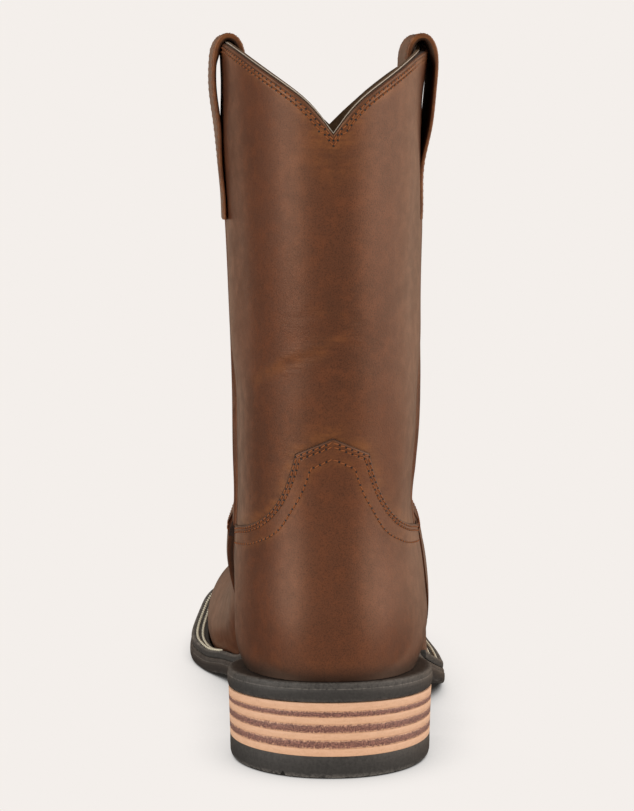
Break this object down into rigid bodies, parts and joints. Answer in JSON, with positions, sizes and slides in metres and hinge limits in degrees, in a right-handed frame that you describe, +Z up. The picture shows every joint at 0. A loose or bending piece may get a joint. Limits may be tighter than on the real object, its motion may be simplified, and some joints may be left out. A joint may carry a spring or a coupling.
{
  "type": "roper boot",
  "caption": "Pull-on leather roper boot for the right foot, with a scalloped collar, pull straps, a peaked heel counter, a broad square toe and a low stacked heel.",
  "frame": {"origin": "on the floor, at the middle of the box that the boot fills in plan", "axes": "+Y from heel to toe, +Z up, +X to the outer side of the right foot"},
  "size_m": [0.1148, 0.3076, 0.2865],
  "materials": {
    "leather": "waxed brown pull-up leather",
    "leather_trim": "waxed brown leather with cut edges",
    "insole": "plain tan board",
    "welt": "dull black",
    "rubber": "dull black rubber",
    "lift_tan": "raw tan stacked leather",
    "lift_dark": "dark stacked leather"
  },
  "bodies": {
    "root": {"upper": "leather", "vamp": "leather", "heel_counter": "leather", "side_piping_medial": "leather_trim", "side_piping_lateral": "leather_trim", "pull_strap_medial": "leather_trim", "pull_strap_lateral": "leather_trim", "insole": "insole", "welt": "welt", "outsole": "rubber", "heel_cap": "rubber", "heel_lift_1": "lift_tan", "heel_lift_2": "lift_dark", "heel_lift_3": "lift_tan", "heel_lift_4": "lift_dark", "heel_lift_5": "lift_tan", "heel_lift_6": "lift_dark", "heel_lift_7": "lift_tan"}
  },
  "joints": []
}
